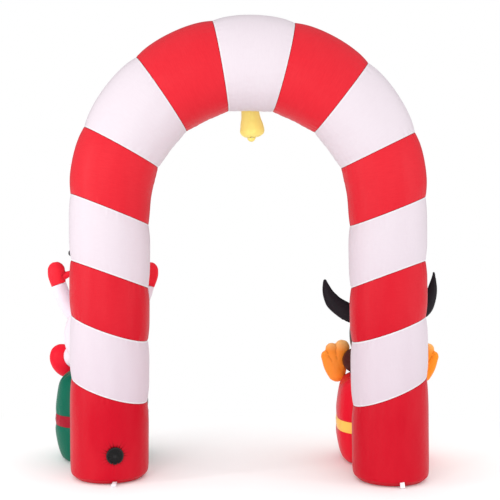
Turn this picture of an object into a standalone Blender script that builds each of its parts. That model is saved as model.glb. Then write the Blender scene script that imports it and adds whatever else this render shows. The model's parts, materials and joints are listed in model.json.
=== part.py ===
# Inflatable candy-cane archway with two figures sitting on gift boxes in front of its legs.
# Metres, +Z up. The arch stands across X, its back faces -Y and the figures sit on its +Y side.
# Every filled piece is one closed solid in its blown-up shape, and neighbours are 0.3 mm apart.
# Points below are written from the middle of the arch; the empty CENTRE moves all of it, so that the
# origin is at the bottom centre of the whole object.
import math
from collections import namedtuple

import bmesh
import bpy
from mathutils import Matrix, Vector

# Driving dimensions of the arch
ARCH_SHIFT = Vector((0.064, -0.242, 0.0))   # from the object's origin to the middle of the arch, on the floor
SPRING = 1.450                              # height at which the legs end and the curve starts
CURVE_OUTER = {"left": 0.958, "crown": 0.989, "right": 0.925}   # radius of the curve's outer edge
CURVE_INNER = {"left": 0.531, "crown": 0.4985, "right": 0.517}  # radius of its inner edge
LEG_FOOT_X = {"left": -0.7530, "right": 0.7480}                 # where a leg's axis meets the floor
LEG_FOOT_RADIUS = {"left": 0.2045, "right": 0.1990}
FOOT_EDGE = 0.050                           # rounding of the closed lower end of a leg
SEAM_DRAW = 0.0080                          # how far a seam pulls the tube in
SEAM_GAP = 0.00024                          # half of the play between two bands, along the tube
PLAY = 0.00034                              # play between any other two pieces that meet
TUBE_SIDES = 24
MID_RADIUS = (CURVE_OUTER["crown"] + CURVE_INNER["crown"]) / 2
CURVE_LENGTH = math.pi * MID_RADIUS
WHOLE_LENGTH = 2 * SPRING + CURVE_LENGTH

# Driving dimensions of the fittings
INTAKE_RADIUS = 0.0450
INTAKE_RIM = 0.0075                         # width of the collar around the grille
INTAKE_RIM_ROUND = 0.002
INTAKE_DEPTH = 0.012                        # how far it would reach into the leg, before it is cut to the leg
INTAKE_PROUD = 0.007                        # how far the collar stands out of the cloth
GRILLE_PROUD = 0.0035
HUB_RADIUS = 0.010
HUB_PROUD = 0.0065
INTAKE_X = -0.6910
INTAKE_Z = 0.1550
WEB_WIDTH = 0.023                           # webbing of the tether loops
WEB_THICKNESS = 0.0018
LOOP_REACH = {"side": 0.031, "foot": 0.040}
LOOP_SUNK = 0.012                           # length of strap drawn inside the carrier, before it is cut off
LOOP_SPREAD = 0.0100                        # between the middles of a loop's two layers

BELL_X = -0.012
BELL_Y = 0.274                              # far enough out to hang against the front of the crown
BELL_LEAN = 6.5                             # degrees
BELL_PIVOT = 1.990                          # height about which it leans
BELL_PROFILE = (                            # radius and height
    (0.0, 2.150), (0.020, 2.148), (0.038, 2.135), (0.047, 2.105), (0.049, 2.040), (0.051, 1.975),
    (0.057, 1.925), (0.066, 1.885), (0.0705, 1.863), (0.067, 1.846), (0.054, 1.831), (0.032, 1.822),
    (0.0, 1.820),
)
CLAPPER_ASIDE = 0.0095

# Driving dimensions of the boxes and the figures
BOX_HALF = 0.2560                           # half the width of a gift box at its fullest
BOX_POWER = 2.9                             # how square the plan of a box is, 2 being a circle
BOX_Y = 0.447
BOX_X = {"green": -0.869, "red": 0.736}
BOX_HEIGHT = {"green": 0.502, "red": 0.482}
RIBBON_LOW = {"green": 0.2100, "red": 0.1850}
RIBBON_WIDTH = 0.0620
SNOWMAN_X = -0.867
SNOWMAN_Y = 0.470
PENGUIN_X = 0.733
PENGUIN_Y = 0.462
FOOT_SHIFT = {"inner": -0.008, "outer": 0.022}
LIMB_SIDES = 10
FINE_SIDES = 16                             # of the hat's crown and the bell
FIGURE_SIDES = {"outer": -1.0, "inner": 1.0}    # of the snowman; the penguin's are the other way round

Form = namedtuple("Form", "height radii")           # a ball's middle above the floor and its half sizes
LimbRow = namedtuple("LimbRow", "out height half")  # distance from the figure's middle, height, half width
# A leg's hip and ankle are measured from the figure's middle and its boot from the arch's.
Leg = namedtuple("Leg", "hip ankle boot tilt")

CLAPPER = Form(1.8260, (0.026, 0.026, 0.028))

SNOWMAN_BODY = Form(0.695, (0.226, 0.205, 0.235))
SNOWMAN_HEAD = Form(1.022, (0.163, 0.160, 0.155))
SNOWMAN_EYE = Form(1.060, (0.014, 0.012, 0.017))
SNOWMAN_EYE_OUT = 0.052
SNOWMAN_EYE_FORWARD = 0.150
SNOWMAN_NOSE = (LimbRow(0.140, 1.020, 0.026), LimbRow(0.200, 1.018, 0.018), LimbRow(0.245, 1.015, 0.008))
HAT_BRIM = ((1.154, 0.180), (1.161, 0.193), (1.174, 0.199), (1.187, 0.193), (1.194, 0.180))  # height, radius
HAT_CROWN = ((1.186, 0.118), (1.256, 0.122), (1.336, 0.128), (1.368, 0.122), (1.382, 0.100), (1.388, 0.050))
SNOWMAN_ARM = (
    LimbRow(0.130, 0.795, 0.050), LimbRow(0.180, 0.835, 0.049), LimbRow(0.217, 0.890, 0.047),
    LimbRow(0.241, 0.945, 0.045), LimbRow(0.2565, 0.992, 0.0435),
)
MITTEN_PALM = (LimbRow(0.2555, 0.982, 0.044), LimbRow(0.267, 1.040, 0.053), LimbRow(0.271, 1.073, 0.051))
MITTEN_THUMB = (LimbRow(0.252, 1.030, 0.030), LimbRow(0.185, 1.058, 0.016))
SNOWMAN_LEG_RADII = (0.075, 0.072)
BOOT_RADII = (0.086, 0.062, 0.108)
SNOWMAN_LEGS = {
    "outer": Leg((-0.085, 0.020, 0.585), (-0.185, 0.110, 0.560), (-1.120, 0.610, 0.526), 35.0),
    "inner": Leg((0.080, 0.050, 0.585), (0.110, 0.160, 0.565), (-0.740, 0.668, 0.552), -8.0),
}

PENGUIN_BODY = Form(0.715, (0.181, 0.185, 0.236))
PENGUIN_BELLY = Form(0.694, (0.132, 0.150, 0.176))
PENGUIN_BELLY_FORWARD = 0.050
PENGUIN_HEAD = Form(1.022, (0.150, 0.148, 0.142))
PENGUIN_EYE = Form(1.054, (0.020, 0.016, 0.026))
PENGUIN_EYE_OUT = 0.050
PENGUIN_EYE_FORWARD = 0.134
PENGUIN_BEAK = (LimbRow(0.125, 1.004, 0.034), LimbRow(0.170, 1.002, 0.026), LimbRow(0.205, 0.998, 0.010))
PENGUIN_HIP = (0.080, 0.030, 0.553)         # out, forward and height
PENGUIN_ANKLE = (0.144, 0.094, 0.546)
PENGUIN_LEG_RADII = (0.068, 0.072)
WING_INNER = (
    LimbRow(0.120, 0.810, 0.058), LimbRow(0.190, 0.836, 0.057), LimbRow(0.256, 0.880, 0.049),
    LimbRow(0.284, 0.913, 0.043), LimbRow(0.302, 0.945, 0.034), LimbRow(0.314, 0.982, 0.024),
    LimbRow(0.321, 1.015, 0.0125),
)
WING_OUTER = (
    LimbRow(0.120, 0.800, 0.054), LimbRow(0.178, 0.815, 0.053), LimbRow(0.234, 0.848, 0.048),
    LimbRow(0.265, 0.892, 0.043), LimbRow(0.285, 0.944, 0.035), LimbRow(0.294, 0.990, 0.026),
    LimbRow(0.299, 1.036, 0.015), LimbRow(0.300, 1.066, 0.008),
)
FOOT_FORWARD = 0.148
HEEL = (0.236, 0.464)                       # out and height
HEEL_RADIUS = 0.054
INSTEP_RADIUS = 0.053
TOES = (LimbRow(0.293, 0.562, 0.038), LimbRow(0.266, 0.603, 0.040), LimbRow(0.207, 0.613, 0.048))

COLOURS = {
    "white_cloth": (0.86, 0.80, 0.84),
    "red_cloth": (0.72, 0.02, 0.03),
    "black_cloth": (0.03, 0.025, 0.03),
    "green_cloth": (0.0, 0.16, 0.09),
    "dark_red_cloth": (0.35, 0.01, 0.02),
    "gold_cloth": (0.90, 0.60, 0.12),
    "orange_cloth": (0.95, 0.30, 0.03),
    "yellow_cloth": (0.97, 0.75, 0.20),
    "webbing": (0.85, 0.80, 0.82),
    "black_plastic": (0.012, 0.012, 0.014),
}

Ring = namedtuple("Ring", "middle across along power")
Seam = namedtuple("Seam", "outer inner lean")


def remove_all():
    for old in list(bpy.context.scene.objects):
        bpy.data.objects.remove(old, do_unlink=True)


def new_collection(name):
    made = bpy.data.collections.new(name)
    bpy.context.scene.collection.children.link(made)
    return made


remove_all()
PARTS = new_collection("inflatable_arch")
CUTTERS = new_collection("cutters")
CENTRE = bpy.data.objects.new("arch_centre", None)
CENTRE.location = ARCH_SHIFT
PARTS.objects.link(CENTRE)


def finish(name):
    """The material of that name, made on first use."""
    if name in bpy.data.materials:
        return bpy.data.materials[name]
    made = bpy.data.materials.new(name)
    made.use_nodes = True
    shader = made.node_tree.nodes["Principled BSDF"]
    shader.inputs["Base Color"].default_value = (*COLOURS[name], 1.0)
    shader.inputs["Roughness"].default_value = 0.45 if name == "black_plastic" else 0.6
    shader.inputs["Metallic"].default_value = 0.0
    return made


def add_object(name, bm, material):
    """Puts a bmesh into the scene as a smooth object that follows the arch's centre."""
    bmesh.ops.recalc_face_normals(bm, faces=bm.faces)
    if bm.calc_volume(signed=True) < 0.0:
        bmesh.ops.reverse_faces(bm, faces=bm.faces)
    mesh = bpy.data.meshes.new(name)
    bm.to_mesh(mesh)
    bm.free()
    piece = bpy.data.objects.new(name, mesh)
    PARTS.objects.link(piece)
    piece.parent = CENTRE
    if material:
        mesh.materials.append(finish(material))
    mesh.shade_smooth()
    mesh.set_sharp_from_angle(angle=math.radians(50.0))
    return piece


def as_cutter(piece):
    piece.hide_render = True
    piece.display_type = "WIRE"
    for home in list(piece.users_collection):
        home.objects.unlink(piece)
    CUTTERS.objects.link(piece)
    return piece


def boolean(piece, other, operation):
    step = piece.modifiers.new(operation.lower() + "_" + other.name, "BOOLEAN")
    step.operation = operation
    step.solver = "EXACT"
    step.object = other


def seat(piece, *neighbours):
    """Cuts a piece back where it would reach into its neighbours, and leaves the play between them."""
    for neighbour in neighbours:
        grown = bpy.data.objects.new(neighbour.name + "_room", neighbour.data)
        grown.parent = CENTRE
        PARTS.objects.link(grown)
        for step in neighbour.modifiers:
            if step.type == "BOOLEAN" and step.operation == "UNION":
                boolean(grown, step.object, "UNION")
        swell = grown.modifiers.new("play", "DISPLACE")
        swell.strength = PLAY
        swell.mid_level = 0.0
        boolean(piece, as_cutter(grown), "DIFFERENCE")


# Shapes

def power_of(value, power):
    return math.copysign(abs(value) ** (2.0 / power), value)


def ring_point(ring, angle):
    return (ring.middle
            + ring.across * power_of(math.cos(angle), ring.power)
            + ring.along * power_of(math.sin(angle), ring.power))


def loft(name, rings, sides, material):
    """A cylinder primitive with a row of points for each ring, each row moved to its ring."""
    bm = bmesh.new()
    bmesh.ops.create_cone(bm, cap_ends=True, segments=sides, radius1=1.0, radius2=1.0, depth=1.0)
    walls = [edge for edge in bm.edges if abs(edge.verts[0].co.z - edge.verts[1].co.z) > 0.5]
    bmesh.ops.subdivide_edges(bm, edges=walls, cuts=len(rings) - 2)
    for vert in bm.verts:
        row = round((vert.co.z + 0.5) * (len(rings) - 1))
        vert.co = ring_point(rings[row], math.atan2(vert.co.y, vert.co.x))
    return add_object(name, bm, material)


def ball(name, middle, radii, material, turns=14, rows=8, tilt=0.0):
    """An ellipsoid, tilted in the XZ plane."""
    bm = bmesh.new()
    bmesh.ops.create_uvsphere(bm, u_segments=turns, v_segments=rows, radius=1.0)
    place = Matrix.Translation(middle) @ Matrix.Rotation(tilt, 4, "Y") @ Matrix.Diagonal((*radii, 1.0))
    bmesh.ops.transform(bm, matrix=place, verts=bm.verts)
    return add_object(name, bm, material)


def limb(name, path, radii, material, depth=1.0, ends=(True, True), sides=LIMB_SIDES):
    """A tube along a path in space, rounded at the ends that ask for it; depth flattens it in Y."""
    points = [Vector(point) for point in path]
    rings = []
    last = len(points) - 1
    for index, point in enumerate(points):
        before = points[max(index - 1, 0)]
        after = points[min(index + 1, last)]
        run = (after - before).normalized()
        side = run.cross(Vector((0.0, 1.0, 0.0))).normalized()
        other = run.cross(side).normalized()
        caps = []
        if index == 0 and ends[0]:
            caps = [(-0.94, 0.34), (-0.70, 0.71), (-0.30, 0.95)]
        if index == last and ends[1]:
            caps = [(0.30, 0.95), (0.70, 0.71), (0.94, 0.34)]
        size = radii[index]
        body = Ring(point, side * size, other * size * depth, 2.0)
        tips = [Ring(point + run * size * out, side * size * wide, other * size * depth * wide, 2.0)
                for out, wide in caps]
        rings += tips + [body] if index == 0 else [body] + tips
    return loft(name, rings, sides, material)


# The arch tube

# A place on the tube is a length along its middle, which on the left leg is simply the height.

def over_curve(degrees):
    """A place from an angle around the curve, 0 at the left spring line and 180 at the right one."""
    return SPRING + CURVE_LENGTH * degrees / 180.0


def down_right(height):
    """A place from a height on the right leg."""
    return WHOLE_LENGTH - height


# Where each seam meets the outer and the inner edge, and how much further along it lies on the tube's back.
SEAMS = (
    Seam(0.540, 0.399, -0.007),
    Seam(0.875, 0.726, -0.001),
    Seam(1.156, 1.008, 0.026),
    Seam(over_curve(3.6), 1.343, 0.019),
    Seam(over_curve(25.1), over_curve(22.1), 0.016),
    Seam(over_curve(52.2), over_curve(49.2), 0.020),
    Seam(over_curve(78.3), over_curve(77.0), 0.021),
    Seam(over_curve(103.6), over_curve(103.7), 0.024),
    Seam(over_curve(129.7), over_curve(131.7), 0.013),
    Seam(over_curve(156.2), over_curve(158.2), 0.002),
    Seam(over_curve(177.1), down_right(1.337), 0.0),
    Seam(down_right(1.159), down_right(1.009), -0.019),
    Seam(down_right(0.871), down_right(0.726), -0.001),
    Seam(down_right(0.551), down_right(0.389), 0.005),
)


def mix(low, high, share):
    return low + (high - low) * share


def leg_edge(side, height, outward):
    """A point of a leg's outline in the XZ plane; outward is 1 on the outer edge and -1 on the inner one."""
    spring_radius = (CURVE_OUTER[side] - CURVE_INNER[side]) / 2
    sign = -1.0 if side == "left" else 1.0
    spring_x = sign * (CURVE_OUTER[side] + CURVE_INNER[side]) / 2
    share = height / SPRING
    radius = mix(LEG_FOOT_RADIUS[side], spring_radius, share)
    return Vector((mix(LEG_FOOT_X[side], spring_x, share) + sign * outward * radius, 0.0, height))


def tube_edge(place, outward):
    """A point of the tube's outline, from the left foot over the crown to the right foot."""
    if place < SPRING:
        return leg_edge("left", place, outward)
    if place > SPRING + CURVE_LENGTH:
        return leg_edge("right", WHOLE_LENGTH - place, outward)
    share = (place - SPRING) / CURVE_LENGTH
    sizes = CURVE_OUTER if outward > 0 else CURVE_INNER
    spring = mix(sizes["left"], sizes["right"], share)
    swell = sizes["crown"] - (sizes["left"] + sizes["right"]) / 2
    turn = math.pi * share
    radius = spring + swell * math.sin(turn)
    return Vector((-radius * math.cos(turn), 0.0, SPRING + radius * math.sin(turn)))


def tube_radius(place):
    """Half the width of the tube, square to its own length."""
    return (tube_edge(place, 1.0) - tube_edge(place, -1.0)).length / 2


def tube_ring(outer, inner, lean, inset):
    """The section of the tube by a slanted plane, drawn in by an inset."""
    out = tube_edge(outer, 1.0)
    into = tube_edge(inner, -1.0)
    middle = (out + into) / 2
    half = (out - into) / 2
    radius = tube_radius((outer + inner) / 2)
    forward = Vector((half.z, 0.0, -half.x)).normalized()
    half *= 1.0 - inset / radius
    return Ring(middle, half, Vector((0.0, radius - inset, 0.0)) - forward * lean, 2.0)


# Rows of points along a band, as shares of its length: closer together where the seams pull it in.
BAND_SHARES = (0.0, 0.07, 0.27, 0.50, 0.73, 0.93, 1.0)


def seam_pull(share, pulled_low=True, pulled_high=True):
    """How far the cloth is drawn in at that share of a band's length."""
    side = 2.0 * share - 1.0
    pulled = pulled_low if side < 0 else pulled_high
    return SEAM_DRAW * side ** 4 if pulled else 0.0


def foot_rings(high, mirrored):
    """A lowest band: the rounded bottom, then up to its seam. A mirrored one is on the right leg."""
    rows = []
    for step in range(4):
        turn = math.radians(30.0 * step)
        rows.append((FOOT_EDGE * (1.0 - math.cos(turn)), 0.0, FOOT_EDGE * (1.0 - math.sin(turn))))
    for share in BAND_SHARES[2:]:
        rows.append((FOOT_EDGE, share, seam_pull(share, pulled_low=False)))
    rings = []
    for low, share, inset in rows:
        far_outer = WHOLE_LENGTH - high.outer if mirrored else high.outer
        far_inner = WHOLE_LENGTH - high.inner if mirrored else high.inner
        outer = mix(low, far_outer - SEAM_GAP, share)
        inner = mix(low, far_inner - SEAM_GAP, share)
        if mirrored:
            outer = WHOLE_LENGTH - outer
            inner = WHOLE_LENGTH - inner
        rings.append(tube_ring(outer, inner, high.lean * share, inset))
    return rings


def band_rings(low, high):
    rings = []
    for share in BAND_SHARES:
        outer = mix(low.outer + SEAM_GAP, high.outer - SEAM_GAP, share)
        inner = mix(low.inner + SEAM_GAP, high.inner - SEAM_GAP, share)
        rings.append(tube_ring(outer, inner, mix(low.lean, high.lean, share), seam_pull(share)))
    return rings


def make_bands():
    bands = []
    count = len(SEAMS) + 1
    for index in range(count):
        if index == 0:
            rings = foot_rings(SEAMS[0], mirrored=False)
        elif index == count - 1:
            rings = foot_rings(SEAMS[-1], mirrored=True)
        else:
            rings = band_rings(SEAMS[index - 1], SEAMS[index])
        material = "red_cloth" if index % 2 == 0 else "white_cloth"
        bands.append(loft(f"band_{index + 1:02d}", rings, TUBE_SIDES, material))
    return bands


# The blower intake

def turned(name, profile, steps, material, place):
    """A profile of (radius, height) turned about Z, then put in its place by a matrix."""
    bm = bmesh.new()
    verts = [bm.verts.new((radius, 0.0, height)) for radius, height in profile]
    ring = profile[0][0] > 0.0
    ends = list(zip(verts, verts[1:])) + ([(verts[-1], verts[0])] if ring else [])
    edges = [bm.edges.new(pair) for pair in ends]
    bmesh.ops.spin(bm, geom=verts + edges, cent=(0.0, 0.0, 0.0), axis=(0.0, 0.0, 1.0), dvec=(0.0, 0.0, 0.0),
                   angle=math.tau, steps=steps, use_merge=True)
    bmesh.ops.remove_doubles(bm, verts=bm.verts, dist=0.00001)
    bmesh.ops.transform(bm, matrix=place, verts=bm.verts)
    return add_object(name, bm, material)


def intake_place():
    """Where the intake's axis meets the leg, and the way it faces."""
    axis_x = LEG_FOOT_X["left"]
    radius = tube_radius(INTAKE_Z)
    sideways = (INTAKE_X - axis_x) / radius
    outward = Vector((sideways, -math.sqrt(1.0 - sideways ** 2), 0.0))
    return Vector((axis_x, 0.0, INTAKE_Z)) + outward * radius, outward


def make_intake(foot_band):
    """A collar with a grille in it, both cut at the back to the curve of the leg."""
    middle, outward = intake_place()
    place = Matrix.Translation(middle) @ outward.to_track_quat("Z", "Y").to_matrix().to_4x4()
    edge = INTAKE_RIM_ROUND
    inside = INTAKE_RADIUS - INTAKE_RIM
    collar = turned("intake_collar", (
        (INTAKE_RADIUS - edge, INTAKE_PROUD), (INTAKE_RADIUS, INTAKE_PROUD - edge),
        (INTAKE_RADIUS, -INTAKE_DEPTH), (inside, -INTAKE_DEPTH), (inside, INTAKE_PROUD - edge / 2),
        (inside + edge / 2, INTAKE_PROUD)), TUBE_SIDES, "black_plastic", place)
    seat(collar, foot_band)
    disc = inside - PLAY
    grille = turned("intake_grille", (
        (0.0, HUB_PROUD), (HUB_RADIUS - edge, HUB_PROUD), (HUB_RADIUS, HUB_PROUD - edge),
        (HUB_RADIUS, GRILLE_PROUD), (disc, GRILLE_PROUD), (disc, -INTAKE_DEPTH), (0.0, -INTAKE_DEPTH)),
        TUBE_SIDES, "black_plastic", place)
    seat(grille, foot_band)


# The webbing tether loops

def make_loop(name, root, outward, reach, carrier):
    """A strip of webbing that leaves its carrier, turns round and comes back. Its eye runs along width."""
    out = Vector(outward).normalized()
    width = Vector((1.0, 0.0, 0.0)) if abs(out.x) < 0.5 else Vector((0.0, 0.0, 1.0))
    apart = out.cross(width).normalized()
    half = LOOP_SPREAD / 2
    path = [(-LOOP_SUNK, half), (reach * 0.4, half)]
    for step in range(7):
        turn = math.radians(90.0 - 30.0 * step)
        path.append((reach - half + half * math.cos(turn), half * math.sin(turn)))
    path += [(reach * 0.4, -half), (-LOOP_SUNK, -half)]
    bm = bmesh.new()
    rows = []
    for edge in (-0.5, 0.5):
        rows.append([bm.verts.new(Vector(root) + out * along + apart * aside + width * WEB_WIDTH * edge)
                     for along, aside in path])
    for index in range(len(path) - 1):
        bm.faces.new((rows[0][index], rows[0][index + 1], rows[1][index + 1], rows[1][index]))
    piece = add_object(name, bm, "webbing")
    shell = piece.modifiers.new("thickness", "SOLIDIFY")
    shell.thickness = WEB_THICKNESS
    shell.offset = 0.0
    seat(piece, carrier)
    return piece


def make_loops(bands):
    make_loop("loop_left_side", (-0.931, 0.0, 1.677), (-1.0, 0.0, 0.0), LOOP_REACH["side"], bands[4])
    make_loop("loop_left_foot", (-0.694, -0.1945, 0.010), (0.0, -1.0, -0.05), LOOP_REACH["foot"], bands[0])
    make_loop("loop_right_foot", (0.788, -0.183, 0.030), (0.0, -0.82, -0.57), LOOP_REACH["foot"], bands[-1])


# The bell

def make_bell(crown_band):
    lean = Matrix.Rotation(math.radians(-BELL_LEAN), 4, "Y")
    pivot = Vector((0.0, 0.0, BELL_PIVOT))
    place = Matrix.Translation(Vector((BELL_X, BELL_Y, 0.0)) + pivot) @ lean @ Matrix.Translation(-pivot)
    bell = turned("bell", BELL_PROFILE, FINE_SIDES, "yellow_cloth", place)
    clapper = form("bell_clapper", BELL_X + CLAPPER_ASIDE, BELL_Y, CLAPPER, "yellow_cloth", 12, 7)
    seat(clapper, bell)
    seat(bell, crown_band)


# The gift boxes

# Sizes of a box from the floor up: height as a share of the whole, and how far its wall lies inside
# its fullest size.
BoxRow = namedtuple("BoxRow", "share inset")
BOX_ROWS = (
    BoxRow(0.000, 0.066), BoxRow(0.018, 0.048), BoxRow(0.055, 0.032), BoxRow(0.180, 0.013),
    BoxRow(0.340, 0.001), BoxRow(0.500, 0.000), BoxRow(0.660, 0.005), BoxRow(0.830, 0.017),
    BoxRow(0.925, 0.030), BoxRow(0.972, 0.052), BoxRow(1.000, 0.110),
)


def box_ring(colour, height):
    """The plan of a box at a height, between the rows of the table."""
    share = height / BOX_HEIGHT[colour]
    for low, high in zip(BOX_ROWS, BOX_ROWS[1:]):
        if low.share <= share <= high.share:
            inset = mix(low.inset, high.inset, (share - low.share) / (high.share - low.share))
    half = BOX_HALF - inset
    return Ring(Vector((BOX_X[colour], BOX_Y, height)), Vector((half, 0.0, 0.0)), Vector((0.0, half, 0.0)),
                BOX_POWER)


def make_box(colour, cloth, ribbon_cloth, leg_band):
    ribbon_low = RIBBON_LOW[colour]
    ribbon_high = ribbon_low + RIBBON_WIDTH
    gap = PLAY / 2
    heights = [row.share * BOX_HEIGHT[colour] for row in BOX_ROWS]
    low_rows = [height for height in heights if height < ribbon_low - 0.01] + [ribbon_low - gap]
    mid_rows = [ribbon_low + gap, ribbon_high - gap]
    high_rows = [ribbon_high + gap] + [height for height in heights if height > ribbon_high + 0.01]
    pieces = []
    for label, heights, material in (("lower", low_rows, cloth), ("ribbon", mid_rows, ribbon_cloth),
                                     ("upper", high_rows, cloth)):
        rings = [box_ring(colour, height) for height in heights]
        if label == "ribbon":
            rings.insert(1, box_ring(colour, (ribbon_low + ribbon_high) / 2))
        piece = loft(f"gift_{colour}_{label}", rings, TUBE_SIDES, material)
        seat(piece, leg_band)
        pieces.append(piece)
    return pieces


# The figures

def side_limb(name, x, y, side, rows, material, **more):
    """A limb beside a figure's middle; side is -1 or 1."""
    path = [(x + side * row.out, y, row.height) for row in rows]
    return limb(name, path, [row.half for row in rows], material, **more)


def snout(name, x, y, rows, depth=1.0):
    """A limb that points forward from a face."""
    path = [(x, y + row.out, row.height) for row in rows]
    return limb(name, path, [row.half for row in rows], "orange_cloth", depth=depth, ends=(False, True))


def form(name, x, y, plan, material, turns=14, rows=8):
    return ball(name, Vector((x, y, plan.height)), plan.radii, material, turns, rows)


def turned_rings(x, y, rows):
    """Round level rings from rows of (height, radius)."""
    return [Ring(Vector((x, y, height)), Vector((size, 0.0, 0.0)), Vector((0.0, size, 0.0)), 2.0)
            for height, size in rows]


def make_mitten(name, side, arm):
    """A palm with a thumb on the side of the head."""
    x = SNOWMAN_X
    y = SNOWMAN_Y
    palm = side_limb(name, x, y, side, MITTEN_PALM, "red_cloth", depth=0.75, ends=(False, True))
    thumb = side_limb(name + "_thumb", x, y, side, MITTEN_THUMB, None, depth=0.9)
    boolean(palm, as_cutter(thumb), "UNION")
    seat(palm, arm)
    return palm


def make_snowman(box_top):
    x = SNOWMAN_X
    y = SNOWMAN_Y
    body = form("snowman_body", x, y, SNOWMAN_BODY, "white_cloth")
    seat(body, box_top)
    head = form("snowman_head", x, y, SNOWMAN_HEAD, "white_cloth")
    seat(head, body)
    brim = loft("snowman_hat_brim", turned_rings(x, y, HAT_BRIM), TUBE_SIDES, "black_cloth")
    seat(brim, head)
    crown = loft("snowman_hat_crown", turned_rings(x, y, HAT_CROWN), FINE_SIDES, "black_cloth")
    seat(crown, brim, head)
    for label, side in FIGURE_SIDES.items():
        arm = side_limb(f"snowman_arm_{label}", x, y, side, SNOWMAN_ARM, "white_cloth", ends=(True, False))
        seat(arm, body)
        make_mitten(f"snowman_mitten_{label}", side, arm)
    for label, plan in SNOWMAN_LEGS.items():
        hip = (x + plan.hip[0], y + plan.hip[1], plan.hip[2])
        ankle = (x + plan.ankle[0], y + plan.ankle[1], plan.ankle[2])
        leg = limb(f"snowman_leg_{label}", (hip, ankle), SNOWMAN_LEG_RADII, "white_cloth")
        seat(leg, body, box_top)
        boot = ball(f"snowman_boot_{label}", Vector(plan.boot), BOOT_RADII, "red_cloth", 14, 9,
                    tilt=math.radians(-plan.tilt))
        seat(boot, leg, body, box_top)
    for label, side in FIGURE_SIDES.items():
        eye = form(f"snowman_eye_{label}", x + side * SNOWMAN_EYE_OUT, y + SNOWMAN_EYE_FORWARD, SNOWMAN_EYE,
                   "black_cloth", 10, 7)
        seat(eye, head)
    seat(snout("snowman_nose", x, y, SNOWMAN_NOSE), head)


def make_foot(label, side, leg, box_top):
    """A heel with three toes that point up and outwards."""
    x = PENGUIN_X + FOOT_SHIFT[label]
    y = PENGUIN_Y + FOOT_FORWARD
    heel = (x + side * HEEL[0], y, HEEL[1])
    name = f"penguin_foot_{label}"
    foot = None
    for index, toe in enumerate(TOES):
        tip = (x + side * toe.out, y, toe.height)
        middle = tuple(mix(low, high, 0.5) for low, high in zip(heel, tip))
        start = tuple(mix(low, high, 0.06 * index) for low, high in zip(heel, middle))
        lobe = limb(name if foot is None else f"{name}_toe_{index}", (start, middle, tip),
                    (HEEL_RADIUS, INSTEP_RADIUS, toe.half), "orange_cloth", depth=0.80 - 0.04 * index)
        if foot is None:
            foot = lobe
        else:
            boolean(foot, as_cutter(lobe), "UNION")
    seat(foot, leg, box_top)
    return foot


def make_penguin(box_top):
    x = PENGUIN_X
    y = PENGUIN_Y
    body = form("penguin_body", x, y, PENGUIN_BODY, "black_cloth")
    seat(body, box_top)
    belly = form("penguin_belly", x, y + PENGUIN_BELLY_FORWARD, PENGUIN_BELLY, "white_cloth", rows=9)
    seat(belly, body, box_top)
    head = form("penguin_head", x, y, PENGUIN_HEAD, "black_cloth")
    seat(head, body)
    for label, side, rows in (("inner", -1.0, WING_INNER), ("outer", 1.0, WING_OUTER)):
        wing = side_limb(f"penguin_wing_{label}", x, y, side, rows, "black_cloth", depth=0.6)
        seat(wing, body)
        hip, ankle = ((x + side * out, y + forward, height)
                      for out, forward, height in (PENGUIN_HIP, PENGUIN_ANKLE))
        leg = limb(f"penguin_leg_{label}", (hip, ankle), PENGUIN_LEG_RADII, "black_cloth")
        seat(leg, body, belly, box_top)
        make_foot(label, side, leg, box_top)
        eye = form(f"penguin_eye_{label}", x + side * PENGUIN_EYE_OUT, y + PENGUIN_EYE_FORWARD, PENGUIN_EYE,
                   "white_cloth", 10, 7)
        seat(eye, head)
    seat(snout("penguin_beak", x, y, PENGUIN_BEAK, depth=0.7), head)


BANDS = make_bands()
make_intake(BANDS[0])
make_loops(BANDS)
make_bell(BANDS[7])
GREEN = make_box("green", "green_cloth", "dark_red_cloth", BANDS[0])
RED_BOX = make_box("red", "red_cloth", "gold_cloth", BANDS[-1])
make_snowman(GREEN[-1])
make_penguin(RED_BOX[-1])
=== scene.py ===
# %% [markdown]
# # Dressing an inflatable archway
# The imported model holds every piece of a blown-up archway at its real size: fifteen slanted bands
# of a striped tube, two gift boxes, a snowman, a penguin, a bell, a blower intake and three tether
# loops. Its solids are plain and faceted. This lesson dresses them: each cloth piece is copied,
# rounded, blown up by Blender's cloth simulation, gathered at its seams and given woven cloth.

# %% Load the frame
import json
import math

import bpy
import numpy as np
from mathutils import Matrix, Vector


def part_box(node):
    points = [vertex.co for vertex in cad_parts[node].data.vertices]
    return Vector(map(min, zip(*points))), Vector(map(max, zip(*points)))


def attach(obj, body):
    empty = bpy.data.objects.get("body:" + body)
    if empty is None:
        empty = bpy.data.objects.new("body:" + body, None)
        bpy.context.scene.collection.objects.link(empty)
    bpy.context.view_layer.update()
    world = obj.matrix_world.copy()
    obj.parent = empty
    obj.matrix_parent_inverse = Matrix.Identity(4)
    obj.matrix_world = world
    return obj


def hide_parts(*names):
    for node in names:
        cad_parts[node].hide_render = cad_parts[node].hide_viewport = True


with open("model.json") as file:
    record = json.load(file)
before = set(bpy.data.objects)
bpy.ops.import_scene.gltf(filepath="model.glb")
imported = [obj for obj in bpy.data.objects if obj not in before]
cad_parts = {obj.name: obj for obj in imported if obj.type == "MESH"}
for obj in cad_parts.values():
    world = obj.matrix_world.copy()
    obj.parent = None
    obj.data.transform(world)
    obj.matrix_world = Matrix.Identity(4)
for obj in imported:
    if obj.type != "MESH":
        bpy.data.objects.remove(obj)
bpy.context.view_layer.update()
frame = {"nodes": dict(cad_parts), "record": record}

NODES = frame["nodes"]
SLOT_OF = {row["node"]: row["material_slot"] for row in frame["record"]["subparts"]}

# %% [markdown]
# ## The camera
# The arch stands across X and is seen from behind, from a little right of its middle and from
# half-way up the legs. The picture is square, so the lens and the distance alone set the framing.

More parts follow.
